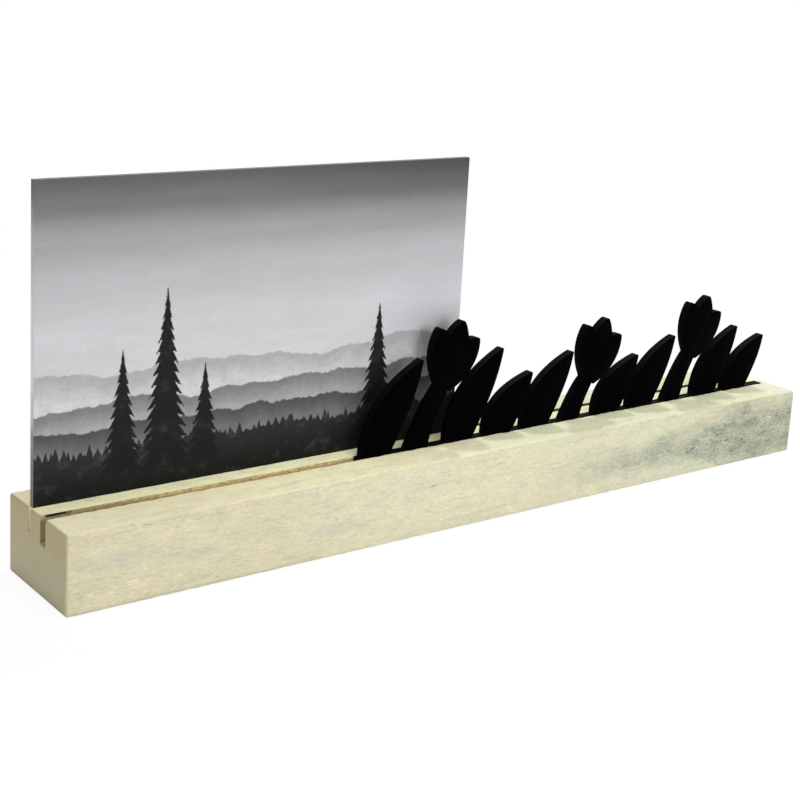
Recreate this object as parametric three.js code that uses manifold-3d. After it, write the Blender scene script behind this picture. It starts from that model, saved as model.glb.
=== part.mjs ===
// Photo display: a grooved pine block that holds a photo print on its board and a cut-out ornament.
// Millimetres, +Z up. The origin is the middle of the block's underside. +X runs along the block, to the
// right as seen from the front, and +Y runs to the back.
import * as THREE from "three";
import { mergeVertices } from "three/addons/utils/BufferGeometryUtils.js";
import Module from "manifold-3d";

// Block
const BLOCK_LENGTH = 300;
const BLOCK_DEPTH = 38;
const BLOCK_HEIGHT = 24;
const BLOCK_EDGE_RADIUS = 0.8;
const EDGE_STEPS = 6;

// Grooves, from the front and the back of the block to their middles
const FRONT_GROOVE_INSET = 15;
const REAR_GROOVE_INSET = 13.7;
const FRONT_GROOVE_DEPTH = 8;
const REAR_GROOVE_DEPTH = 7.5;

// How far a cut reaches past the faces that it opens
const CUT_PAST = 1;

// Photo print and the board behind it, which stand in the rear groove
const PRINT_WIDTH = 150;
const PRINT_HEIGHT = 100;
const PRINT_THICKNESS = 0.3;
const BOARD_THICKNESS = 1.6;
const SHEET_GAP = 0.1;
const SHEET_PLAY = 0.15;
const SHEET_INSET = 0.8;

// Ornament sheet, whose tongue stands at the closed right end of the front groove
const ORNAMENT_LENGTH = 190.5;
const ORNAMENT_THICKNESS = 3;
const ORNAMENT_PLAY = 0.25;
const ORNAMENT_INSET = 4;
const RAIL_RISE = 0.3;

// Plants along the ornament. Heights are above the block's top.
const TALL_BUD = 42;
const MIDDLE_BUD = 39;
const SHORT_BUD = 36;
const LONG_LEAF = 32;
const MIDDLE_LEAF = 27;
const SHORT_LEAF = 22;
const PLANTS = [
  { make: leaf, height: LONG_LEAF },
  { make: bud, height: TALL_BUD },
  { make: leaf, height: LONG_LEAF },
  { make: leaf, height: SHORT_LEAF },
  { make: leaf, height: MIDDLE_LEAF },
  { make: bud, height: SHORT_BUD },
  { make: leaf, height: SHORT_LEAF },
  { make: leaf, height: MIDDLE_LEAF },
  { make: bud, height: MIDDLE_BUD },
  { make: leaf, height: MIDDLE_LEAF },
  { make: leaf, height: SHORT_LEAF },
];
const PLANT_LEAN = THREE.MathUtils.degToRad(17);

// From the ends of the ornament to the feet of the first and last plants
const FIRST_PLANT = 6;
const LAST_PLANT = 16;

// Widths of the blades that the plants are made of, and how far their tips bend to the right
const LEAF = { foot: 8, middle: 13, tip: 3 };
const LEAF_BEND = 8;
const STEM = { foot: 9, middle: 6.5, tip: 6 };
const STEM_BEND = 4;
const PETAL = { foot: 8, middle: 11, tip: 4 };
const PETAL_LENGTH = 19;
const SIDE_PETAL_LENGTH = 17;
const PETAL_SPREAD = THREE.MathUtils.degToRad(30);
const OUTLINE_STEPS = 24;
const TIP_ROUNDING = 8;
const MERGE_DISTANCE = 1e-4;

// Worked out from the sizes above
const FRONT_GROOVE_WIDTH = ORNAMENT_THICKNESS + 2 * ORNAMENT_PLAY;
const FRONT_GROOVE_LENGTH = BLOCK_LENGTH - ORNAMENT_INSET + ORNAMENT_PLAY;
const REAR_GROOVE_WIDTH = PRINT_THICKNESS + SHEET_GAP + BOARD_THICKNESS + 2 * SHEET_PLAY;
const BLOCK_LEFT = -BLOCK_LENGTH / 2;
const BLOCK_FRONT = -BLOCK_DEPTH / 2;
const FRONT_GROOVE_MIDDLE = BLOCK_FRONT + FRONT_GROOVE_INSET;
const REAR_GROOVE_MIDDLE = -BLOCK_FRONT - REAR_GROOVE_INSET;

const PINE = new THREE.MeshStandardMaterial({ color: "#d9d3b0", roughness: 0.75, metalness: 0 });
const BOARD = new THREE.MeshStandardMaterial({ color: "#d6d6d8", roughness: 0.6, metalness: 0 });
const PAPER = new THREE.MeshStandardMaterial({ color: "#8f9093", roughness: 0.4, metalness: 0 });
const BLACK = new THREE.MeshStandardMaterial({ color: "#0b0b0c", roughness: 0.7, metalness: 0 });

const wasm = await Module();
wasm.setup();

// A closed geometry as a solid that can be joined to others.
function toSolid(geometry) {
  geometry.deleteAttribute("normal");
  geometry.deleteAttribute("uv");
  const merged = mergeVertices(geometry, MERGE_DISTANCE);
  const mesh = new wasm.Mesh({
    numProp: 3,
    vertProperties: merged.getAttribute("position").array,
    triVerts: Uint32Array.from(merged.index.array),
  });
  return new wasm.Manifold(mesh);
}

// A joined solid as a geometry for a mesh.
function toGeometry(solid) {
  const mesh = solid.getMesh();
  const geometry = new THREE.BufferGeometry();
  geometry.setAttribute("position", new THREE.BufferAttribute(mesh.vertProperties, 3));
  geometry.setIndex(new THREE.BufferAttribute(mesh.triVerts, 1));
  geometry.computeVertexNormals();
  return geometry;
}

function extrude(shape, depth) {
  return new THREE.ExtrudeGeometry(shape, { depth, bevelEnabled: false, curveSegments: EDGE_STEPS });
}

function namedMesh(name, geometry, material) {
  const mesh = new THREE.Mesh(geometry, material);
  mesh.name = name;
  return mesh;
}

function rectangle(left, bottom, width, height) {
  const shape = new THREE.Shape();
  shape.moveTo(left, bottom);
  shape.lineTo(left + width, bottom);
  shape.lineTo(left + width, bottom + height);
  shape.lineTo(left, bottom + height);
  shape.closePath();
  return shape;
}

// A sheet drawn in x and y stands upright: x stays, y goes up, and its thickness runs towards the front.
function standUp(object, left, back, bottom) {
  object.rotation.x = Math.PI / 2;
  object.position.set(left, back, bottom);
  return object;
}

// The block's end face, with eased long edges and the rear groove open at the top, drawn in y and z.
function blockSection() {
  const front = BLOCK_FRONT;
  const back = -BLOCK_FRONT;
  const top = BLOCK_HEIGHT;
  const r = BLOCK_EDGE_RADIUS;
  const shape = new THREE.Shape();
  shape.moveTo(front + r, 0);
  shape.absarc(back - r, r, r, -Math.PI / 2, 0);
  shape.absarc(back - r, top - r, r, 0, Math.PI / 2);
  const floor = top - REAR_GROOVE_DEPTH;
  shape.lineTo(REAR_GROOVE_MIDDLE + REAR_GROOVE_WIDTH / 2, top);
  shape.lineTo(REAR_GROOVE_MIDDLE + REAR_GROOVE_WIDTH / 2, floor);
  shape.lineTo(REAR_GROOVE_MIDDLE - REAR_GROOVE_WIDTH / 2, floor);
  shape.lineTo(REAR_GROOVE_MIDDLE - REAR_GROOVE_WIDTH / 2, top);
  shape.absarc(front + r, top - r, r, Math.PI / 2, Math.PI);
  shape.absarc(front + r, r, r, Math.PI, Math.PI * 1.5);
  return shape;
}

// The space of the front groove, open at the top and at the left end, drawn in y and z like the end face.
function frontGroove() {
  const front = FRONT_GROOVE_MIDDLE - FRONT_GROOVE_WIDTH / 2;
  const floor = BLOCK_HEIGHT - FRONT_GROOVE_DEPTH;
  const shape = rectangle(front, floor, FRONT_GROOVE_WIDTH, FRONT_GROOVE_DEPTH + CUT_PAST);
  return extrude(shape, CUT_PAST + FRONT_GROOVE_LENGTH).translate(0, 0, -CUT_PAST);
}

function woodenBase() {
  const solid = toSolid(extrude(blockSection(), BLOCK_LENGTH)).subtract(toSolid(frontGroove()));
  const mesh = namedMesh("wooden_base", toGeometry(solid), PINE);
  mesh.rotation.set(Math.PI / 2, Math.PI / 2, 0);
  mesh.position.x = BLOCK_LEFT;
  return mesh;
}

// The print and its board stand on the rear groove's floor, with the print in front.
function photo() {
  const group = new THREE.Group();
  const outline = rectangle(0, 0, PRINT_WIDTH, PRINT_HEIGHT);
  const board = namedMesh("photo_backing", extrude(outline, BOARD_THICKNESS), BOARD);
  const print = namedMesh("photo_print", extrude(outline, PRINT_THICKNESS), PAPER);
  print.position.z = BOARD_THICKNESS + SHEET_GAP;
  group.add(board, print);
  const back = REAR_GROOVE_MIDDLE + REAR_GROOVE_WIDTH / 2 - SHEET_PLAY;
  return standUp(group, BLOCK_LEFT + SHEET_INSET, back, BLOCK_HEIGHT - REAR_GROOVE_DEPTH);
}

// A blade's width part way up, through its foot, middle and tip widths, drawn in to a round tip.
function bladeWidth(widths, t) {
  const foot = widths.foot * (1 - t) * (1 - 2 * t);
  const middle = widths.middle * 4 * t * (1 - t);
  const tip = widths.tip * t * (2 * t - 1);
  return (foot + middle + tip) * Math.sqrt(1 - t ** TIP_ROUNDING);
}

// An outline about a line that bends to the right: up its right side and down its left side.
function outline(from, to, lineAt, widthAt) {
  const right = [];
  const left = [];
  for (let i = 0; i <= OUTLINE_STEPS; i++) {
    const t = Math.sin(((i / OUTLINE_STEPS) * Math.PI) / 2);
    const y = from + (to - from) * t;
    const half = widthAt(t) / 2;
    right.push(new THREE.Vector2(lineAt(y) + half, y));
    if (half > MERGE_DISTANCE) left.unshift(new THREE.Vector2(lineAt(y) - half, y));
  }
  return [...right, ...left];
}

// A blade from below its foot to its tip.
function blade(from, length, lineAt, widths) {
  return new THREE.Shape(outline(from, length, lineAt, (t) => bladeWidth(widths, t)));
}

// The middle line of a blade, upright at its foot and bent over at its tip.
function bentLine(bend, length) {
  return (y) => bend * (y / length) ** 2;
}

// Both kinds of plant are lists of flat pieces, whose feet reach down into the rail by their root.
function leaf(length, root) {
  const shape = blade(-root, length, bentLine(LEAF_BEND, length), LEAF);
  return [extrude(shape, ORNAMENT_THICKNESS)];
}

// A stem that carries three petals spread from its top.
function bud(length, root) {
  const stemLength = length - PETAL_LENGTH;
  const lineAt = bentLine(STEM_BEND, stemLength);
  const stem = extrude(blade(-root, stemLength, lineAt, STEM), ORNAMENT_THICKNESS);
  const petals = [-1, 0, 1].map((side) => {
    const petalLength = side === 0 ? PETAL_LENGTH : SIDE_PETAL_LENGTH;
    const petal = extrude(blade(-STEM.tip / 2, petalLength, () => 0, PETAL), ORNAMENT_THICKNESS);
    return petal.rotateZ(-side * PETAL_SPREAD).translate(STEM_BEND, stemLength, 0);
  });
  return [stem, ...petals];
}

// The ornament's foot is a rail, whose lower part is the tongue in the front groove.
function ornament() {
  const tongue = FRONT_GROOVE_DEPTH;
  const rail = rectangle(0, 0, ORNAMENT_LENGTH, tongue + RAIL_RISE);
  let solid = toSolid(extrude(rail, ORNAMENT_THICKNESS));
  const pitch = (ORNAMENT_LENGTH - FIRST_PLANT - LAST_PLANT) / (PLANTS.length - 1);
  PLANTS.forEach(({ make, height }, i) => {
    const length = height / Math.cos(PLANT_LEAN);
    for (const piece of make(length, tongue / 2)) {
      piece.rotateZ(-PLANT_LEAN).translate(FIRST_PLANT + i * pitch, tongue, 0);
      solid = solid.add(toSolid(piece));
    }
  });
  const mesh = namedMesh("ornament_cutout", toGeometry(solid), BLACK);
  const left = -BLOCK_LEFT - ORNAMENT_INSET - ORNAMENT_LENGTH;
  const back = FRONT_GROOVE_MIDDLE + ORNAMENT_THICKNESS / 2;
  return standUp(mesh, left, back, BLOCK_HEIGHT - FRONT_GROOVE_DEPTH);
}

const display = new THREE.Group();
display.add(woodenBase(), photo(), ornament());

export default display;
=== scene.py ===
"""Looks of a photo display: a grooved pine block, a photo print on its backing and a black cut-out."""
import math

import bmesh
import bpy
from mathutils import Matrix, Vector, noise

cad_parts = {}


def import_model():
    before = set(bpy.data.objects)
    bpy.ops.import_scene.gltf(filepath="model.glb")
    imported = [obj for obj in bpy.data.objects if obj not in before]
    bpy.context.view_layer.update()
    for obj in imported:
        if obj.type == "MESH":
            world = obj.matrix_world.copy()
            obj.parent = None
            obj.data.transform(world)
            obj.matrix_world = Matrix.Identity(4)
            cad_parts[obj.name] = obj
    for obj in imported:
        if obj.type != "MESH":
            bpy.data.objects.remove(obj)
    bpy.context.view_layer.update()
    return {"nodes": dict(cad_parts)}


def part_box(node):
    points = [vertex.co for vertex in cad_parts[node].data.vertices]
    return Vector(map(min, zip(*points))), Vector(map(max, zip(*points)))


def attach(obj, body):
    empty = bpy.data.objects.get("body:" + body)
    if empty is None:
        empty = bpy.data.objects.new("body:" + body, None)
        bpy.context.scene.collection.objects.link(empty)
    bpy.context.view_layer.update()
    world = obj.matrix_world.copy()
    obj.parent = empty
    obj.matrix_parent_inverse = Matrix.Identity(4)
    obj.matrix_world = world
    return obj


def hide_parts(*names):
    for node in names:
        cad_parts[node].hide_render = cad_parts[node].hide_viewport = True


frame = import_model()

MM = 0.001


def srgb(red, green, blue):
    """A colour as it looks on a screen, 0 to 255, as the light that a shader takes."""
    levels = [level / 255 for level in (red, green, blue)]
    return tuple(v / 12.92 if v <= 0.04045 else ((v + 0.055) / 1.055) ** 2.4 for v in levels)


# Camera: its place in metres, its turn in degrees, its lens in millimetres and its view's shift upwards
CAMERA_PLACE = (-0.3194, -0.3792, 0.1848)
CAMERA_TURN = (77.35, -3.12, -36.84)
CAMERA_LENS = 69.86
CAMERA_SHIFT = -0.1435

# Light: soft boxes by place and width in metres and power in watts, and the world's share of white
FRONT_BOX = ((-0.05, -1.00, 0.24), 0.45, 2.95)
TOP_BOX = ((0.05, -0.16, 0.95), 0.60, 6.7)
BACK_BOX = ((0.36, 0.30, 0.80), 0.08, 2.9)
LIGHT_TARGET = (0.0, 0.0, 0.04)
WORLD_LEVEL = 0.34

# Floor: its size in metres, its finish, how white the camera sees it, and from how far on it is pure white
FLOOR_SIZE = 12.0
FLOOR_COLOUR = (0.93, 0.93, 0.93)
FLOOR_ROUGHNESS = 0.9
FLOOR_WHITENESS = 0.9
WHITE_DISTANCE = 0.5

# Edges of the block, in millimetres: radius and wear of its long edges, its grooves' roots and their rear and
# front lips, and the radius of its ends
EDGE = (1.0, 0.14)
ROOT = (0.15, 0.0)
LIP_RADIUS = 0.2
PRINT_LIPS = ((LIP_RADIUS, 0.08), (LIP_RADIUS, 0.08))
CUT_OUT_LIPS = ((0.1, 0.1), (LIP_RADIUS, 0.25))
END_RADIUS = 0.9

# Room in the grooves, before and behind what stands in them, in millimetres
PRINT_PLAY = (0.05, 0.05)
CUT_OUT_PLAY = (0.05, 0.3)

# Mesh of the block: steps round a corner and along a side, and in millimetres its steps along the block and
# over the front groove's closed end, and the distance under which two points are one
ARC_STEPS = 5
RUN_STEPS = 8
STATION_STEP = 0.75
CLOSING_STEP = 0.02
SAME_PLACE = 0.001

# Chips along the edges: size in millimetres, how common they are, and their noise's falloff, gap and octaves
CHIP_SIZE = (3.2, 5.0, 5.0)
CHIP_BIAS = 0.12
CHIP_NOISE = (0.9, 2.1, 4)

# Edges of the cut-out in millimetres, and the angles that still count as flat and already as sharp
CUT_EDGE_RADIUS = 0.3
CUT_EDGE_STEPS = 2
WELD_DISTANCE = 0.01
FLAT_ANGLE = math.radians(1)
SHARP_ANGLE = math.radians(35)

# How far the block's surface has to face up, to the front or sideways to take those tones
FACING_UP = (0.2, 0.9)
FACING_FRONT = (-0.4, -0.8)
FACING_SIDEWAYS = (0.3, 0.98)

# Planed pine: the first tone of its front, its top and the strip between its grooves, and for each next tone
# the places along the block where it sets in and where it is reached, in millimetres. The top's tones are
# partly the wood's own and partly painted light: paler along the print, which shades it from the back lamp,
# and darker to its right, where that lamp reaches it. The strip between the grooves is painted palest, as
# painted light against the print's shade.
FRONT_TONE = srgb(209, 203, 173)
FRONT_CHANGES = (
    (-95, -45, srgb(211, 207, 178)),
    (-141, -149, srgb(206, 199, 166)),
    (20, 90, srgb(207, 207, 180)),
)
UPPER_RIGHT_TONE = srgb(206, 203, 174)
UPPER_RIGHT_ALONG = (50, 110)
UPPER_RIGHT_UP = (14, 21)
TOP_TONE = srgb(223, 216, 179)
TOP_CHANGES_AND_PAINTED_LIGHT = (
    (-130, -60, srgb(232, 226, 187)),
    (-35, 15, srgb(206, 208, 175)),
    (135, 148, srgb(210, 212, 192)),
)
STRIP_PAINTED_LIGHT = srgb(233, 231, 187)
STRIP_PAINTED_LIGHT_CHANGES = ((-140, -90, srgb(241, 241, 197)),)
STRIP_SOFTNESS = 0.2

# Blotches, pores and pale flecks in the pine: their tones, their shares and the noise levels of a fleck
WARM_BLOTCH = srgb(222, 206, 178)
GREEN_BLOTCH = srgb(203, 206, 176)
BLOTCH_SHARE = 0.45
PORE = srgb(160, 154, 130)
PALE_FLECK = srgb(242, 236, 208)
FLECK_SHARE = 0.55
FLECK_LIMITS = (0.12, 0.26)

# Grey spots on the front: their middle along and up it and half their length and height, in millimetres
GREY_SPOTS = ((-133, 14, 16, 2.8), (-108, 11.5, 7, 2.6), (-62, 9, 12, 2.4))
GREY_SPOT = srgb(184, 188, 174)
SPOT_SHARE = 0.36
SPOT_LIMITS = (1.2, 0.2)
SPOT_RAGGEDNESS = 2.5

# Growth lines: their pith's place across and up the block and how far it wanders, in millimetres, their turn
# for each millimetre and how far they waver, in radians
PITH = (6.0, -34.0)
PITH_WANDER = (14.0, 10.0)
RING_TURN = 1.15
RING_WAVER = 5.0

# How much each part of the grain darkens or lightens the wood, and how much calmer the top and the ends are
LINE_DEPTH = 0.08
STREAK_DEPTH = 0.05
CLOUD_DEPTH = 0.28
FIBRE_DEPTH = 0.3
GRIT_DEPTH = 0.34
TOP_CALM = 0.35
END_CALM = 0.8

# Grey stain on the front, in millimetres: how far back it goes, where along the block it sets in, its upper
# and lower limit with each step up in them, and how soft and ragged these are
STAIN_BACK = (-10, -11)
STAIN_ALONG = (5, 90)
STAIN_TOP = 7.0
STAIN_TOP_STEPS = ((9.0, -10, 45), (5.5, 84, 112))
STAIN_BOTTOM = 0.5
STAIN_BOTTOM_STEP = (5.0, 128, 75)
STAIN_SOFTNESS = (-3.5, 5.5)
STAIN_RAGGEDNESS = (13.0, 9.0)

# Tones of the stain, and where along the block it turns grey and its dots turn darker, in millimetres
STAIN_PALE = srgb(163, 167, 148)
STAIN_GREY = srgb(152, 156, 137)
STAIN_GREYER = (85, 125)
STAIN_DOT = srgb(80, 87, 80)
STAIN_DARKER = (30, 90)
STAIN_GLINT = srgb(226, 224, 202)
GLINT_SHARE = 0.8

# Ends of the block: tones above and below, and between which heights they change, in millimetres
END_ABOVE = srgb(192, 181, 140)
END_BELOW = srgb(199, 191, 162)
END_CHANGE = (21, 3)
END_CLOUD_DEPTH = 0.16

# Painted shade: the edges along the top, darkened by how far they face up to take away their highlight, and
# a darker foot towards the left, in millimetres
EDGE_SHADE_FACING = (0.35, 0.85, 0.2)
EDGE_SHADE = 0.12
FOOT_UP = (1.8, 0.3)
FOOT_ALONG = (-30, -110)
FOOT_SHADE = 0.16

# Limits of the sawn tone, in millimetres: how soft they are, and how far they lie behind a groove, past its
# end, below its rim and below its bottom
SAWN_SOFTNESS = 0.06
SAWN_REAR = 0.1
SAWN_END = 0.1
SAWN_RIM = 0.05
SAWN_BELOW = 1.0

# Tones of the sawn wood, and their reach from the block's left end, its top or a wall, in millimetres
SAWN_BROWN = srgb(206, 180, 122)
SAWN_PALE = srgb(255, 238, 184)
SAWN_FUZZ = (-0.16, 0.14)
LEFT_BROWN = srgb(146, 134, 92)
LEFT_REACH = (50.0, 5.0)
LEFT_SHARE = 0.6
# A darker brown deep in the front groove near its left end: its tone, reach from the end, depth below the top
# and share
DEEP_LEFT_BROWN = srgb(108, 92, 62)
DEEP_LEFT_REACH = (9.0, 2.0)
DEEP_LEFT_DEPTH = (-1.0, -2.2)
DEEP_LEFT_SHARE = 0.45
REAR_ACROSS = (0.0, 1.0)
# The rear groove's left end is painted paler from its mouth inwards, as painted light against the groove's
# shade
REAR_MOUTH = srgb(202, 190, 150)
REAR_MOUTH_REACH = (0.0, 0.8)
REAR_PAINTED_LIGHT = srgb(253, 242, 202)
REAR_BROWN = srgb(150, 126, 92)
REAR_BROWN_REACH = (1.0, 6.0)
BLACK_STREAK = srgb(22, 16, 26)
BLACK_STREAK_START = (1.0, 2.0)
BLACK_STREAK_STOP = (10.5, 6.5)
BLACK_STREAK_UNDER = (-1.0, -0.6)
BLACK_STREAK_FROM_WALL = (-0.8, -0.4)

# Sky in the picture: tones by their share of the height, and how much clouds and the right corner change them
SKY_TONES = ((0.36, 0.60), (0.54, 0.575), (0.70, 0.47), (0.82, 0.35), (0.93, 0.175), (1.0, 0.118))
CLOUD_SHARE = 0.18
SKY_CORNER = 0.34

# Hills in the picture, from far to near, by crest, swell and reach in millimetres, seed, tone and mist
HILLS = (
    (43, 22, 40, 1.0, 0.40, 0.60),
    (35, 16, 27, 5.0, 0.20, 0.44),
    (28, 11, 18, 9.0, 0.085, 0.22),
)
MIST_HEIGHT = 10
HILL_WOODS = 2.2

# Forest in the picture, in millimetres: its edge, its swell, and rows of treetops by width, height and seed
FOREST_EDGE = 20
FOREST_SWELL = 9
TREETOPS = ((2.6, 4.6, 0.0), (1.7, 3.4, 0.4))

# Firs in the picture, by foot, base, height and half width in millimetres, and the form of their tiers
FIRS = ((27, 19, 31, 6.5), (41, 18, 49, 9.0), (54, 17, 26, 6.0), (117, 19, 36, 7.5))
FIR_TIER = 3.1
FIR_DROOP = 0.45
FIR_NOTCH = 0.42

# Tones of the picture's ground and firs, and the tint of the whole
GROUND_TONE = 0.008
GROUND_HAZE = 0.022
GROUND_LEAVES = 0.035
NEEDLE_TONE = 0.014
NEEDLE_LIGHT = 0.02
PICTURE_TINT = (0.985, 0.985, 1.03)

# A length in millimetres over which a noise doesn't change on the object
EVEN = 1000

# Sheets: tones of the print's back, the backing's faces, their cut edges by the share of the height, and
# these edges in the groove, with heights from its top in millimetres
PRINT_BACK = srgb(232, 232, 230)
FROSTED = srgb(214, 214, 216)
CUT_EDGE_TONES = (
    (0.1, 0.13), (0.18, 0.18), (0.27, 0.3), (0.34, 0.64),
    (0.45, 0.87), (0.65, 0.8), (0.8, 0.6), (1.0, 0.1),
)
CUT_EDGE_TINT = (0.99, 0.99, 1.01)
# The sheets' edges in the groove take a pale wood tone, painted light against the groove's shade
SUNK_EDGE_PAINTED_LIGHT = srgb(236, 222, 182)
SUNK_HEIGHTS = (0.1, -0.3)

# Black paint on the cut-out's faces, on its sawn walls painted lighter as a sheen, and on the walls that face
# up painted lighter still as a highlight
PAINT_FACE = srgb(1, 1, 2)
PAINT_WALL_SHEEN = srgb(8, 8, 11)
PAINT_WALL_HIGHLIGHT = srgb(13, 13, 19)


class Value:
    """A number that shader nodes work out for each point of a surface."""

    def __init__(self, graph, socket):
        self.graph = graph
        self.socket = socket

    def __add__(self, other):
        return self.graph.math("ADD", self, other)

    def __sub__(self, other):
        return self.graph.math("SUBTRACT", self, other)

    def __rsub__(self, other):
        return self.graph.math("SUBTRACT", other, self)

    def __mul__(self, other):
        return self.graph.math("MULTIPLY", self, other)

    def __truediv__(self, other):
        return self.graph.math("DIVIDE", self, other)

    def __abs__(self):
        return self.graph.math("ABSOLUTE", self)

    __radd__ = __add__
    __rmul__ = __mul__


class Graph:
    """A material whose shader nodes start from places on the object, in millimetres."""

    def __init__(self, name, specular):
        self.material = bpy.data.materials.new(name)
        self.material.use_nodes = True
        self.tree = self.material.node_tree
        self.shader = self.tree.nodes["Principled BSDF"]
        self.shader.inputs["Specular IOR Level"].default_value = specular
        self.points = self.tree.nodes.new("ShaderNodeTexCoord")

    def feed(self, value, socket):
        """Links a worked-out value to a socket, or sets a plain one on it."""
        if isinstance(value, Value):
            self.tree.links.new(value.socket, socket)
        elif isinstance(value, tuple):
            socket.default_value = (*value, 1)
        else:
            socket.default_value = value

    def math(self, operation, *values):
        """What an operation makes of one or two values."""
        node = self.tree.nodes.new("ShaderNodeMath")
        node.operation = operation
        for value, socket in zip(values, node.inputs):
            self.feed(value, socket)
        return Value(self, node.outputs[0])

    def split(self, output):
        """The x, y and z of a point or direction."""
        node = self.tree.nodes.new("ShaderNodeSeparateXYZ")
        self.tree.links.new(self.points.outputs[output], node.inputs[0])
        return [Value(self, socket) for socket in node.outputs]

    def place(self):
        """Where a point lies, in millimetres."""
        return [value * (1 / MM) for value in self.split("Object")]

    def facing(self):
        """Which way the surface faces, from -1 to 1 along x, y and z."""
        return self.split("Normal")

    def noise(self, size, seed=0.0, detail=2.0, rough=0.5, bend=0.0):
        """A random number about 0, mostly within 0.3, in blotches of that size along x, y and z."""
        scaled = self.tree.nodes.new("ShaderNodeMapping")
        scaled.inputs["Scale"].default_value = [1 / (MM * length) for length in size]
        scaled.inputs["Location"].default_value = (seed, seed, seed)
        texture = self.tree.nodes.new("ShaderNodeTexNoise")
        texture.inputs["Scale"].default_value = 1
        texture.inputs["Detail"].default_value = detail
        texture.inputs["Roughness"].default_value = rough
        texture.inputs["Distortion"].default_value = bend
        self.tree.links.new(self.points.outputs["Object"], scaled.inputs["Vector"])
        self.tree.links.new(scaled.outputs["Vector"], texture.inputs["Vector"])
        return Value(self, texture.outputs["Fac"]) - 0.5

    def pick(self, value):
        """A random number from 0 to 1 that stays the same while a value does."""
        node = self.tree.nodes.new("ShaderNodeTexWhiteNoise")
        node.noise_dimensions = "1D"
        self.feed(value, node.inputs["W"])
        return Value(self, node.outputs["Value"])

    def rise(self, value, low, high):
        """0 up to low and 1 from high on, with a smooth change between. It falls where low is above high."""
        node = self.tree.nodes.new("ShaderNodeMapRange")
        node.interpolation_type = "SMOOTHSTEP"
        self.feed(value, node.inputs["Value"])
        self.feed(low, node.inputs["From Min"])
        self.feed(high, node.inputs["From Max"])
        return Value(self, node.outputs["Result"])

    def within(self, value, low, high, soft):
        """1 between low and high and 0 outside them, with soft limits."""
        return self.rise(value, low - soft, low) * self.rise(value, high + soft, high)

    def rise_from(self, value, start, reach):
        """A rise between two distances from a start."""
        return self.rise(value, start + reach[0], start + reach[1])

    def curve(self, value, stops):
        """A number that follows a value from stop to stop."""
        node = self.tree.nodes.new("ShaderNodeValToRGB")
        node.color_ramp.interpolation = "EASE"
        ramp = node.color_ramp.elements
        while len(ramp) < len(stops):
            ramp.new(0.5)
        for element, (position, level) in zip(ramp, stops):
            element.position = position
            element.color = (level, level, level, 1)
        self.feed(value, node.inputs["Fac"])
        return Value(self, node.outputs["Color"])

    def mix(self, share, first, second):
        """A colour part of the way from the first to the second."""
        node = self.tree.nodes.new("ShaderNodeMix")
        node.data_type = "RGBA"
        self.feed(share, node.inputs["Factor"])
        for value, name in ((first, "A_Color"), (second, "B_Color")):
            self.feed(value, next(s for s in node.inputs if s.identifier == name))
        return Value(self, next(s for s in node.outputs if s.identifier == "Result_Color"))

    def tint(self, level, colour):
        """A colour made lighter or darker by a level about 1."""
        node = self.tree.nodes.new("ShaderNodeVectorMath")
        node.operation = "SCALE"
        if isinstance(colour, Value):
            self.tree.links.new(colour.socket, node.inputs[0])
        else:
            node.inputs[0].default_value = colour
        self.feed(level, node.inputs["Scale"])
        return Value(self, node.outputs[0])

    def finish(self, colour, roughness, height, depth):
        """Links the colour, the roughness and a relief of that depth in millimetres to the shader."""
        self.feed(colour, self.shader.inputs["Base Color"])
        self.feed(roughness, self.shader.inputs["Roughness"])
        bump = self.tree.nodes.new("ShaderNodeBump")
        bump.inputs["Distance"].default_value = depth * MM
        self.feed(height, bump.inputs["Height"])
        self.tree.links.new(bump.outputs["Normal"], self.shader.inputs["Normal"])
        return self.material


def groove(front_node, rear_node, play):
    """The front, rear and bottom, in metres, of the groove that holds these nodes with some play."""
    front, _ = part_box(front_node)
    _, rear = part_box(rear_node)
    return front.y - play[0] * MM, rear.y + play[1] * MM, front.z


PRINT_GROOVE = groove("photo_print", "photo_backing", PRINT_PLAY)
CUT_OUT_GROOVE = groove("ornament_cutout", "ornament_cutout", CUT_OUT_PLAY)
CUT_OUT_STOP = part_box("ornament_cutout")[1].x + CUT_OUT_PLAY[1] * MM
GROOVES = (PRINT_GROOVE, CUT_OUT_GROOVE)


def block_corners():
    """Corners of the block's end in y and z, with radius and wear, anticlockwise from the lower front."""
    low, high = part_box("wooden_base")
    corners = [(low.y, low.z, EDGE), (high.y, low.z, EDGE), (high.y, high.z, EDGE)]
    for (front, rear, bottom), (rear_lip, front_lip) in zip(GROOVES, (PRINT_LIPS, CUT_OUT_LIPS)):
        corners += [(rear, high.z, rear_lip), (rear, bottom, ROOT)]
        corners += [(front, bottom, ROOT), (front, high.z, front_lip)]
    return corners + [(low.y, high.z, EDGE)]


def rounded_corner(before, here, after, radius):
    """Points round a square corner, each with its direction out of the wood."""
    back = (before - here).normalized()
    ahead = (after - here).normalized()
    centre = here + radius * (back + ahead)
    side = 1 if back.cross(ahead) < 0 else -1
    for step in range(ARC_STEPS + 1):
        angle = math.pi / 2 * step / ARC_STEPS
        inward = ahead * math.cos(angle) + back * math.sin(angle)
        yield centre - radius * inward, -side * inward


def in_groove(point, sides):
    """Whether a point of the block's outline lies on a groove's lips, walls or bottom."""
    front, rear, bottom = sides
    return front - LIP_RADIUS * MM <= point.x <= rear + LIP_RADIUS * MM and point.y >= bottom


def drawn_in(point, out):
    """Which way the block's rounded ends draw a point: down beside a groove, and otherwise into the wood."""
    _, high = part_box("wooden_base")
    for sides in GROOVES:
        if in_groove(point, sides):
            return Vector((0, -(point.y - sides[2]) / (high.z - sides[2])))
    return -out


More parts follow.
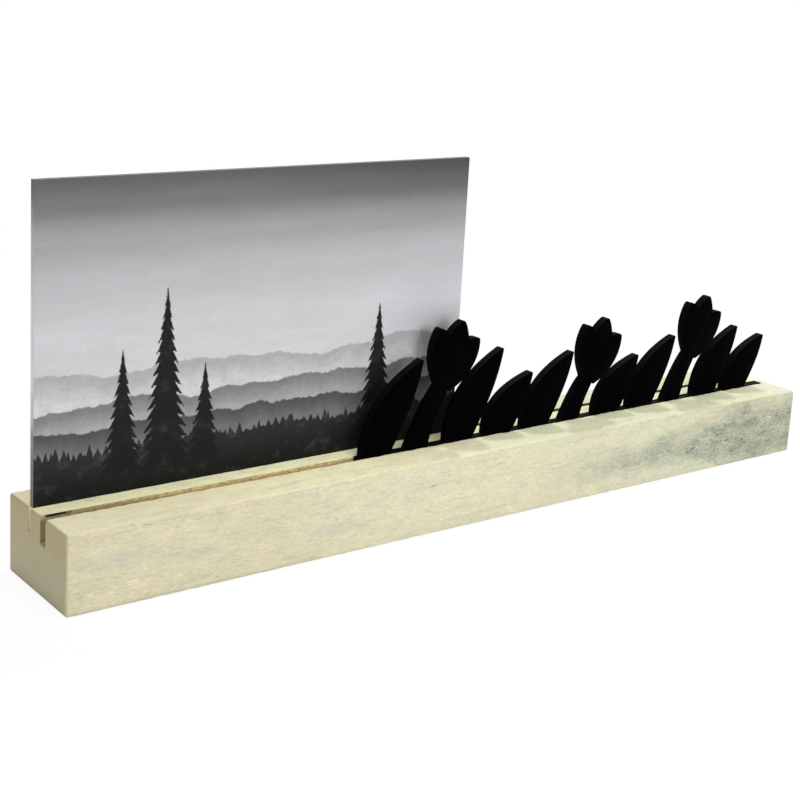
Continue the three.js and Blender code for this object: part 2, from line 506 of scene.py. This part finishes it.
def block_section():
    """The block's end outline in y and z: points, which way its ends draw them in, and their wear."""
    corners = block_corners()
    spots = [Vector(corner[:2]) for corner in corners]
    section = []
    for i, (_, _, (radius, wear)) in enumerate(corners):
        after = spots[(i + 1) % len(spots)]
        arc = list(rounded_corner(spots[i - 1], spots[i], after, radius * MM))
        chip = -(arc[0][1] + arc[-1][1]).normalized() * wear * MM
        section += [(point, drawn_in(point, out), chip) for point, out in arc]
        start = arc[-1][0]
        next_radius = corners[(i + 1) % len(corners)][2][0]
        end = after - (after - spots[i]).normalized() * next_radius * MM
        along = (end - start).normalized()
        out = Vector((along.y, -along.x))
        for step in range(1, RUN_STEPS):
            point = start.lerp(end, (1 - math.cos(math.pi * step / RUN_STEPS)) / 2)
            section.append((point, drawn_in(point, out), Vector((0, 0))))
    return section


def block_stations():
    """Places along the block, with how far its rounded ends draw the outline in there."""
    low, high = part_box("wooden_base")
    radius = END_RADIUS * MM
    angles = [math.pi / 2 * step / ARC_STEPS for step in range(ARC_STEPS)]
    rounding = [(radius * (1 - math.sin(angle)), radius * (1 - math.cos(angle))) for angle in angles]
    start = low.x + radius
    end = high.x - radius
    count = round((end - start) / (STATION_STEP * MM))
    stations = [(low.x + ahead, inset) for inset, ahead in rounding]
    stations += [(start + (end - start) * i / count, 0.0) for i in range(count + 1)]
    stations += [(CUT_OUT_STOP, 0.0), (CUT_OUT_STOP + CLOSING_STEP * MM, 0.0)]
    stations += [(high.x - ahead, inset) for inset, ahead in rounding]
    return sorted(stations)


def chipped(x, point):
    """How much of its wear an edge has at a place, from 0 to 1."""
    place = Vector((x / CHIP_SIZE[0], point.x / CHIP_SIZE[1], point.y / CHIP_SIZE[2])) / MM
    return min(max(noise.fractal(place, *CHIP_NOISE) + CHIP_BIAS, 0.0), 1.0)


def block_points(section):
    """The block's outline at each place along it, with the front groove closed beyond the cut-out."""
    _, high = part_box("wooden_base")
    points = []
    for x, inset in block_stations():
        for point, draw, chip in section:
            spot = point + draw * inset
            if x > CUT_OUT_STOP and in_groove(point, CUT_OUT_GROOVE):
                spot = Vector((point.x, high.z - inset))
            elif chip.length:
                spot += chip * chipped(x, point)
            points.append((x, spot.x, spot.y))
    return points


def skin(size, rings):
    """Faces that join rings of that many points to a closed skin, with its two caps first."""
    faces = [list(range(size))[::-1], list(range((rings - 1) * size, rings * size))]
    for ring in range(rings - 1):
        for k in range(size):
            here = ring * size + k
            after = ring * size + (k + 1) % size
            faces.append((here, after, after + size, here + size))
    return faces


def merge_doubles(mesh):
    """Joins vertices that share a place, and drops the faces between them."""
    whole = bmesh.new()
    whole.from_mesh(mesh)
    bmesh.ops.remove_doubles(whole, verts=whole.verts, dist=SAME_PLACE * MM)
    bmesh.ops.dissolve_degenerate(whole, edges=whole.edges, dist=SAME_PLACE * MM)
    whole.to_mesh(mesh)
    whole.free()


def pine_block():
    """The block as a skin over outlines along its length, with rounded ends, chipped edges and flat caps."""
    section = block_section()
    points = block_points(section)
    mesh = bpy.data.meshes.new("pine_block")
    mesh.from_pydata(points, [], skin(len(section), len(points) // len(section)))
    merge_doubles(mesh)
    mesh.shade_smooth()
    mesh.set_sharp_from_angle(angle=SHARP_ANGLE)
    for polygon in mesh.polygons:
        polygon.use_smooth = polygon.loop_total <= 4
    block = bpy.data.objects.new("pine_block", mesh)
    bpy.context.scene.collection.objects.link(block)
    mesh.materials.append(pine())
    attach(block, "base")
    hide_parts("wooden_base")


def tones_along(g, x, first, changes):
    """A tone that gives way to the next one at each change along the block."""
    tone = first
    for start, end, following in changes:
        tone = g.mix(g.rise(x, start, end), tone, following)
    return tone


def planed_wood(g, x, y, z, upward):
    """Cream pine that turns greenish along the block and is yellower on top, with painted light: its top
    paler along the print and darker to its right, and palest between the grooves, against the print's shade.
    """
    front = tones_along(g, x, FRONT_TONE, FRONT_CHANGES)
    upper_right = g.rise(x, *UPPER_RIGHT_ALONG) * g.rise(z, *UPPER_RIGHT_UP)
    front = g.mix(upper_right, front, UPPER_RIGHT_TONE)
    # painted light: the top is paler where the print shades it from the back lamp and darker where that lamp
    # reaches
    top = tones_along(g, x, TOP_TONE, TOP_CHANGES_AND_PAINTED_LIGHT)
    between = g.within(y, CUT_OUT_GROOVE[1] / MM, PRINT_GROOVE[0] / MM, STRIP_SOFTNESS)
    # painted light: the strip between the grooves is painted palest against the print's shade
    painted_light_strip = tones_along(g, x, STRIP_PAINTED_LIGHT, STRIP_PAINTED_LIGHT_CHANGES)
    return g.mix(upward, front, g.mix(between, top, painted_light_strip))


def blotched(g, wood, x, z, upward):
    """Wood with warm and greenish blotches all over and a few grey spots on its front."""
    warm = g.rise(g.noise((12, 6, 5), seed=3.0, detail=4.0, rough=0.6), 0.0, 0.2)
    wood = g.mix(warm * BLOTCH_SHARE, wood, WARM_BLOTCH)
    green = g.rise(g.noise((10, 6, 4), seed=11.0, detail=4.0, rough=0.6), 0.02, 0.2)
    wood = g.mix(green * BLOTCH_SHARE, wood, GREEN_BLOTCH)
    ragged = g.noise((7, 3, 2), seed=13.0, detail=4.0, rough=0.65) * SPOT_RAGGEDNESS
    for middle_x, middle_z, half_x, half_z in GREY_SPOTS:
        across = (x - middle_x) / half_x
        up = (z - middle_z) / half_z
        spot = g.rise(across * across + up * up + ragged, *SPOT_LIMITS)
        wood = g.mix(spot * (1.0 - upward) * SPOT_SHARE, wood, GREY_SPOT)
    return wood


def flecked(g, wood):
    """Wood with dark pores and pale flecks, and where the pores are."""
    pores = g.rise(g.noise((3.8, 0.75, 0.62), seed=21.0, bend=0.9), *FLECK_LIMITS)
    pale = g.rise(g.noise((3.4, 0.75, 0.62), seed=25.0, bend=0.9), *FLECK_LIMITS)
    wood = g.mix(pores * FLECK_SHARE, wood, PORE)
    return g.mix(pale * FLECK_SHARE, wood, PALE_FLECK), pores


def grain(g, y, z, upward):
    """The wood's light and dark about 1, and its relief: growth lines, streaks, clouds, fibres and grit."""
    wander = g.noise((60, 30, 30), seed=3.0, detail=3.0)
    ring_y = y - PITH[0] + wander * PITH_WANDER[0]
    ring_z = z - PITH[1] + wander * PITH_WANDER[1]
    reach = g.math("SQRT", ring_y * ring_y + ring_z * ring_z)
    rings = g.math("SINE", reach * RING_TURN + g.noise((16, 3, 3), seed=7.0, detail=3.0) * RING_WAVER)
    shown = g.rise(g.noise((22, 6, 5), seed=15.0, detail=3.0), -0.02, 0.14)
    lines = g.rise(rings, 0.8, 1.0) * shown
    streaks = g.noise((42, 1.5, 2.4), seed=9.0, detail=3.0, rough=0.6)
    fibres = g.noise((4.6, 1.0, 0.85), seed=1.0, detail=4.0, rough=0.65, bend=0.8)
    grit = g.noise((1.9, 0.7, 0.6), seed=5.0, bend=0.6)
    clouds = g.noise((7, 5, 4), seed=17.0, detail=4.0, rough=0.65)
    level = 1.0 - lines * LINE_DEPTH + streaks * STREAK_DEPTH + clouds * CLOUD_DEPTH
    level = level + (fibres * FIBRE_DEPTH + grit * GRIT_DEPTH) * (1.0 - upward * TOP_CALM)
    return level, fibres * 0.7 + grit * 0.5


def stain_share(g, x, z):
    """1 in a ragged band that widens and rises to the right, and 0 outside it."""
    coarse = g.noise((22, 9, 7), seed=31.0, detail=5.0, rough=0.6)
    fine = g.noise((4, 2, 1.8), seed=33.0, detail=4.0, rough=0.7)
    ragged = coarse * STAIN_RAGGEDNESS[0] + fine * STAIN_RAGGEDNESS[1]
    top = STAIN_TOP
    for height, start, end in STAIN_TOP_STEPS:
        top = top + height * g.rise(x, start, end)
    height, start, end = STAIN_BOTTOM_STEP
    bottom = height * g.rise(x, start, end) + STAIN_BOTTOM
    below = g.rise(top - z + ragged, *STAIN_SOFTNESS)
    above = g.rise(z - bottom + ragged, *STAIN_SOFTNESS)
    return below * above * g.rise(x, *STAIN_ALONG)


def stained(g, wood, x, z, front):
    """Wood with a grey stain in the right half of its front, speckled with dark dots and pale glints."""
    stain = stain_share(g, x, z) * front
    dense = g.rise(g.noise((9, 5, 4), seed=37.0, detail=4.0, rough=0.6), -0.14, 0.14)
    dots = g.noise((1.9, 1.0, 0.9), seed=41.0, detail=3.0, rough=0.75, bend=1.4)
    dots = g.rise(dots, 0.02, 0.13) * (0.55 + dense * 0.45)
    glints = g.noise((2.3, 1.0, 0.9), seed=43.0, detail=3.0, rough=0.75, bend=1.4)
    glints = g.rise(glints, 0.05, 0.16) * (1.0 - dense * 0.4)
    grey = g.mix(g.rise(x, *STAIN_GREYER), STAIN_PALE, STAIN_GREY)
    wood = g.mix(stain * (0.65 + dense * 0.35), wood, grey)
    wood = g.mix(stain * dots * (0.5 + g.rise(x, *STAIN_DARKER) * 0.4), wood, STAIN_DOT)
    return g.mix(stain * glints * GLINT_SHARE, wood, STAIN_GLINT)


def end_grain(g, z):
    """The tone of the block's ends, greyer towards the foot."""
    tone = g.mix(g.rise(z, *END_CHANGE), END_ABOVE, END_BELOW)
    clouds = g.noise((4, 4, 4), seed=61.0, detail=4.0, rough=0.6)
    return g.tint(1.0 + clouds * END_CLOUD_DEPTH, tone)


def sawn_share(g, x, y, z, high):
    """1 on the walls of the sawn grooves and 0 outside them."""
    share = 0.0
    beyond_block = high.x + 1.0
    for (front, rear, bottom), end in zip(GROOVES, (beyond_block, CUT_OUT_STOP / MM + SAWN_END)):
        across = g.within(y, front / MM - SAWN_SOFTNESS, rear / MM + SAWN_REAR, SAWN_SOFTNESS)
        along = g.rise(x, end, end - SAWN_END)
        share = across * along * g.rise(z, bottom / MM - SAWN_BELOW, bottom / MM) + share
    return share * g.rise(z, high.z, high.z - SAWN_RIM)


def front_cut(g, x, z, low, high, fuzz):
    """Brown sawn wood that is darker towards the left, and darker still deep in the groove at the left end.
    """
    brown = g.mix(g.rise(fuzz, *SAWN_FUZZ), SAWN_BROWN, SAWN_PALE)
    brown = g.mix(g.rise_from(x, low.x, LEFT_REACH) * LEFT_SHARE, brown, LEFT_BROWN)
    # darker deep in the groove near the left end
    deep_left = g.rise_from(x + fuzz * 3.0, low.x, DEEP_LEFT_REACH) * g.rise_from(z + fuzz, high.z, DEEP_LEFT_DEPTH)
    return g.mix(deep_left * DEEP_LEFT_SHARE, brown, DEEP_LEFT_BROWN)


def rear_cut(g, x, low):
    """Brown sawn wood with painted light: a left end painted paler inwards from its mouth."""
    pale = g.mix(g.rise_from(x, low.x, REAR_MOUTH_REACH), REAR_MOUTH, REAR_PAINTED_LIGHT)
    # painted light: paler inwards from the mouth, against the groove's shade
    return g.mix(g.rise_from(x, low.x, REAR_BROWN_REACH), pale, REAR_BROWN)


def black_streak(g, x, y, z, low, high, fuzz):
    """1 in a streak along the front groove's rear wall, near its left end and under its lip."""
    started = g.rise_from(x + fuzz, low.x, BLACK_STREAK_START)
    not_over = g.rise_from(x + fuzz * 4.0, low.x, BLACK_STREAK_STOP)
    under = g.rise_from(z + fuzz, high.z, BLACK_STREAK_UNDER)
    return started * not_over * under * g.rise_from(y, CUT_OUT_GROOVE[1] / MM, BLACK_STREAK_FROM_WALL)


def sawn_wood(g, x, y, z, low, high, fuzz):
    """The sawn wood of both grooves, with a black streak in the front one."""
    brown = front_cut(g, x, z, low, high, fuzz)
    brown = g.mix(g.rise(y, *REAR_ACROSS), brown, rear_cut(g, x, low))
    return g.mix(black_streak(g, x, y, z, low, high, fuzz), brown, BLACK_STREAK)


def pine():
    """Pale planed pine with flecks, a grey stain, end grain, painted shade on edges and foot, brown groove
    walls.
    """
    g = Graph("pine", specular=0.2)
    x, y, z = g.place()
    low, high = [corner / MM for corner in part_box("wooden_base")]
    facing_x, facing_y, facing_z = g.facing()
    upward = g.rise(facing_z, *FACING_UP)
    level, relief = grain(g, y, z, upward)
    wood = blotched(g, planed_wood(g, x, y, z, upward), x, z, upward)
    wood, pores = flecked(g, wood)
    wood = stained(g, wood, x, z, g.rise(facing_y, *FACING_FRONT) * g.rise(y, *STAIN_BACK))

    end = g.rise(abs(facing_x), *FACING_SIDEWAYS)
    wood = g.mix(end, wood, end_grain(g, z))
    level = level - end * (level - 1.0) * END_CALM
    # painted shade: the rounded edges along the top are darkened to take away their highlight
    level = level - g.within(facing_z, *EDGE_SHADE_FACING) * EDGE_SHADE
    # painted shade: the foot is darker towards the left
    level = level - g.rise(z, *FOOT_UP) * g.rise(x, *FOOT_ALONG) * FOOT_SHADE

    fuzz = g.noise((1.6, 1.2, 0.6), seed=51.0, detail=4.0, rough=0.7)
    sawn = sawn_share(g, x, y, z, high)
    wood = g.mix(sawn, wood, sawn_wood(g, x, y, z, low, high, fuzz))
    height = relief - pores * 0.6 + fuzz * sawn * 1.5
    return g.finish(g.tint(level, wood), roughness=0.66 + relief * 0.2, height=height, depth=0.1)


def over(tone, layer, inside):
    """A tone with a nearer layer laid over it where it reaches."""
    return tone + (layer - tone) * inside


def sky(g, u, v, width, tall):
    """A sky that darkens upwards, most of all in its right corner, with streaks and wisps of cloud."""
    streaks = g.noise((52, 10, 8), seed=2.0, detail=5.0, rough=0.55)
    wisps = g.noise((15, 10, 2.6), seed=4.0, detail=5.0, rough=0.6)
    tone = g.curve(v / tall + streaks * 0.05, SKY_TONES)
    corner = g.rise(u / width, 0.3, 1.0) * g.rise(v / tall, 0.7, 1.0)
    clouds = 1.0 + streaks * CLOUD_SHARE + wisps * CLOUD_SHARE
    return tone * clouds * (1.0 - corner * SKY_CORNER)


def hills(g, v, tone):
    """Hills, each nearer one lower and darker, with wooded slopes and mist at the foot."""
    slopes = g.noise((3.4, 10, 2.0), seed=6.0, detail=5.0, rough=0.65)
    for crest, swell, reach, seed, dark, mist in HILLS:
        line = crest + g.noise((reach, EVEN, EVEN), seed) * swell
        line = line + g.noise((2.2, EVEN, EVEN), seed, detail=4.0) * HILL_WOODS
        hill = (mist + (dark - mist) * g.rise(line - v, MIST_HEIGHT, 0)) * (1.0 + slopes * 0.5)
        tone = over(tone, hill, g.rise(line - v, -0.1, 0.5))
    return tone


def treetops(g, u, width, height, seed):
    """The uneven height of a row of small fir tops along a ridge."""
    cell = u / width + seed
    middle = 1.0 - abs(g.math("FRACT", cell) * 2.0 - 1.0)
    return middle * g.pick(g.math("FLOOR", cell)) * height


def forest(g, u, v, tone, leaves, ragged):
    """The edge of a forest on dark ground."""
    line = FOREST_EDGE + g.noise((30, EVEN, EVEN), seed=13.0, detail=3.0) * FOREST_SWELL
    line = line + g.math("MAXIMUM", *[treetops(g, u, *row) for row in TREETOPS])
    ground = GROUND_TONE + g.rise(v, 4, 24) * GROUND_HAZE + g.rise(leaves, 0.0, 0.3) * GROUND_LEAVES
    return over(tone, ground, g.rise(line + ragged * 1.5 - v, 0, 0.4))


def fir(g, u, v, foot, base, tall, wide, ragged):
    """1 inside a fir tree that stands at a foot, with uneven tiers of drooping branches."""
    away = abs(u - foot + ragged * 0.8)
    up = (v + away * FIR_DROOP - base) / tall
    tiers = g.math("FRACT", up * (tall / FIR_TIER) + ragged * 0.9)
    half = wide * (1.0 - up) * (1.0 - tiers * FIR_NOTCH) + ragged * (2.0 - up * 1.4) + 0.15
    return g.rise(half - away, -0.15, 0.3) * g.rise(v, base - 6, base - 5) * g.rise(up, 1.02, 0.99)


def landscape(g, u, v, width, tall):
    """The tone of a black-and-white view, in millimetres across and up: sky, misty hills, forest and firs."""
    leaves = g.noise((5, 10, 4), seed=17.0, detail=4.0, rough=0.6)
    ragged = g.noise((1.0, 10, 0.6), seed=23.0, detail=4.0, rough=0.65)
    tone = hills(g, v, sky(g, u, v, width, tall))
    tone = forest(g, u, v, tone, leaves, ragged)
    needles = NEEDLE_TONE + g.rise(leaves, 0.0, 0.3) * NEEDLE_LIGHT
    for foot, base, height, half in FIRS:
        tone = over(tone, needles, fir(g, u, v, foot, base, height, half, ragged))
    return tone


def cut_edge(g):
    """The colour of the sheets' cut edges: pale wood, painted light, in the groove, and above it the print's
    tone.
    """
    low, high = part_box("photo_backing")
    _, _, z = g.place()
    share = (z - low.z / MM) / ((high.z - low.z) / MM)
    above = g.tint(g.curve(share, CUT_EDGE_TONES), CUT_EDGE_TINT)
    sunk = g.rise_from(z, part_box("wooden_base")[1].z / MM, SUNK_HEIGHTS)
    # painted light: a pale wood tone on the edges in the groove, against its shade
    return g.mix(sunk, above, SUNK_EDGE_PAINTED_LIGHT)


def photo_paper():
    """Satin print with a black-and-white landscape on its front, cut edges and a white back."""
    g = Graph("photo_paper", specular=0.06)
    low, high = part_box("photo_print")
    x, _, z = g.place()
    span = (high - low) / MM
    tone = landscape(g, x - low.x / MM, z - low.z / MM, span.x, span.z)
    speckle = g.noise((0.4, 10, 0.4), seed=29.0, detail=1.0)
    picture = g.tint(tone * (1.0 + speckle * 0.2), PICTURE_TINT)
    _, facing_y, _ = g.facing()
    colour = g.mix(g.rise(facing_y, 0.4, 0.6), cut_edge(g), PRINT_BACK)
    colour = g.mix(g.rise(facing_y, -0.4, -0.6), colour, picture)
    pearl = g.noise((0.25, 0.25, 0.25), seed=37.0, detail=1.0)
    return g.finish(colour, roughness=0.36 + pearl * 0.1, height=pearl, depth=0.01)


def frosted_sheet():
    """Frosted pale sheet with cut edges."""
    g = Graph("frosted_sheet", specular=0.3)
    cloud = g.noise((18, 18, 18), seed=3.0, detail=3.0)
    frost = g.noise((0.5, 0.5, 0.5), seed=5.0)
    face = g.tint(1.0 + cloud * 0.08 + frost * 0.06, FROSTED)
    _, facing_y, _ = g.facing()
    colour = g.mix(g.rise(abs(facing_y), 0.6, 0.4), face, cut_edge(g))
    return g.finish(colour, roughness=0.5 + frost * 0.2, height=frost, depth=0.02)


def black_paint():
    """Matt black paint with a fine dusty grain, deep on faces, painted sheen on walls, highlight on upper
    walls.
    """
    g = Graph("black_paint", specular=0.01)
    dust = g.noise((0.5, 0.5, 0.5), seed=3.0, detail=3.0)
    patch = g.noise((9, 9, 9), seed=7.0, detail=3.0)
    _, facing_y, facing_z = g.facing()
    # painted sheen on the sawn walls, and a painted highlight on the walls that face up
    painted_wall_light = g.mix(g.rise(facing_z, 0.6, 0.98), PAINT_WALL_SHEEN, PAINT_WALL_HIGHLIGHT)
    paint = g.mix(g.rise(abs(facing_y), 0.9, 0.4), PAINT_FACE, painted_wall_light)
    paint = g.tint(1.0 + dust * 0.5 + patch * 0.4, paint)
    return g.finish(paint, roughness=0.55 + dust * 0.2, height=dust, depth=0.02)


def dress(node, material):
    """Gives a solid of the frame a material of its own."""
    solid = frame["nodes"][node]
    solid.data.materials.clear()
    solid.data.materials.append(material)
    return solid


def soften(solid, radius):
    """Eases a solid's sharp edges, with its flat faces whole and its curved walls smooth."""
    weld = solid.modifiers.new("weld", "WELD")
    weld.merge_threshold = WELD_DISTANCE * MM
    flats = solid.modifiers.new("flats", "DECIMATE")
    flats.decimate_type = "DISSOLVE"
    flats.angle_limit = FLAT_ANGLE
    bevel = solid.modifiers.new("bevel", "BEVEL")
    bevel.width = radius * MM
    bevel.segments = CUT_EDGE_STEPS
    bevel.angle_limit = SHARP_ANGLE
    bevel.harden_normals = True
    for polygon in solid.data.polygons:
        polygon.use_smooth = True


def seen_directly(g):
    """1 for what the camera sees, straight or by gloss or glass, and 0 for light that falls on a surface."""
    path = g.tree.nodes.new("ShaderNodeLightPath")
    kinds = ("Is Camera Ray", "Is Glossy Ray", "Is Transmission Ray")
    straight, glossy, through = [Value(g, path.outputs[kind]) for kind in kinds]
    return g.math("MINIMUM", straight + glossy + through, 1.0)


def floor():
    """A pale floor that the camera sees nearly white, with the object's shadow on it."""
    half = FLOOR_SIZE / 2
    corners = [(-half, -half, 0), (half, -half, 0), (half, half, 0), (-half, half, 0)]
    mesh = bpy.data.meshes.new("floor")
    mesh.from_pydata(corners, [], [(0, 1, 2, 3)])
    plane = bpy.data.objects.new("floor", mesh)
    bpy.context.scene.collection.objects.link(plane)
    g = Graph("floor", specular=0.0)
    g.feed(FLOOR_COLOUR, g.shader.inputs["Base Color"])
    g.feed(FLOOR_ROUGHNESS, g.shader.inputs["Roughness"])
    glow = g.tree.nodes.new("ShaderNodeEmission")
    both = g.tree.nodes.new("ShaderNodeMixShader")
    x, y, _ = g.split("Object")
    far = g.rise(g.math("SQRT", x * x + y * y), 0.0, WHITE_DISTANCE)
    g.feed(seen_directly(g) * (far * (1 - FLOOR_WHITENESS) + FLOOR_WHITENESS), both.inputs["Fac"])
    g.tree.links.new(g.shader.outputs[0], both.inputs[1])
    g.tree.links.new(glow.outputs[0], both.inputs[2])
    g.tree.links.new(both.outputs[0], g.tree.nodes["Material Output"].inputs["Surface"])
    mesh.materials.append(g.material)


class WorldGraph(Graph):
    """The same kind of nodes in the world."""

    def __init__(self, studio):
        studio.use_nodes = True
        self.tree = studio.node_tree


def world():
    """White where it is seen, and a softer white that lights the object from all round."""
    studio = bpy.data.worlds.new("studio")
    bpy.context.scene.world = studio
    g = WorldGraph(studio)
    background = g.tree.nodes["Background"]
    g.feed((1.0, 1.0, 1.0), background.inputs["Color"])
    g.feed(seen_directly(g) * (1 - WORLD_LEVEL) + WORLD_LEVEL, background.inputs["Strength"])


def soft_box(name, place, width, power):
    """A square lamp that looks at the object."""
    lamp = bpy.data.lights.new(name, "AREA")
    lamp.size = width
    lamp.energy = power
    box = bpy.data.objects.new(name, lamp)
    box.location = place
    box.rotation_euler = (Vector(LIGHT_TARGET) - box.location).to_track_quat("-Z", "Y").to_euler()
    bpy.context.scene.collection.objects.link(box)


def camera():
    """A camera that stands where the photograph was taken."""
    lens = bpy.data.cameras.new("camera")
    lens.lens = CAMERA_LENS
    lens.shift_y = CAMERA_SHIFT
    eye = bpy.data.objects.new("camera", lens)
    eye.location = CAMERA_PLACE
    eye.rotation_euler = [math.radians(angle) for angle in CAMERA_TURN]
    bpy.context.scene.collection.objects.link(eye)
    bpy.context.scene.camera = eye


bpy.context.scene.view_settings.view_transform = "Standard"
camera()
world()
floor()
soft_box("front_box", *FRONT_BOX)
soft_box("top_box", *TOP_BOX)
soft_box("back_box", *BACK_BOX)
pine_block()
dress("photo_print", photo_paper())
dress("photo_backing", frosted_sheet())
soften(dress("ornament_cutout", black_paint()), CUT_EDGE_RADIUS)
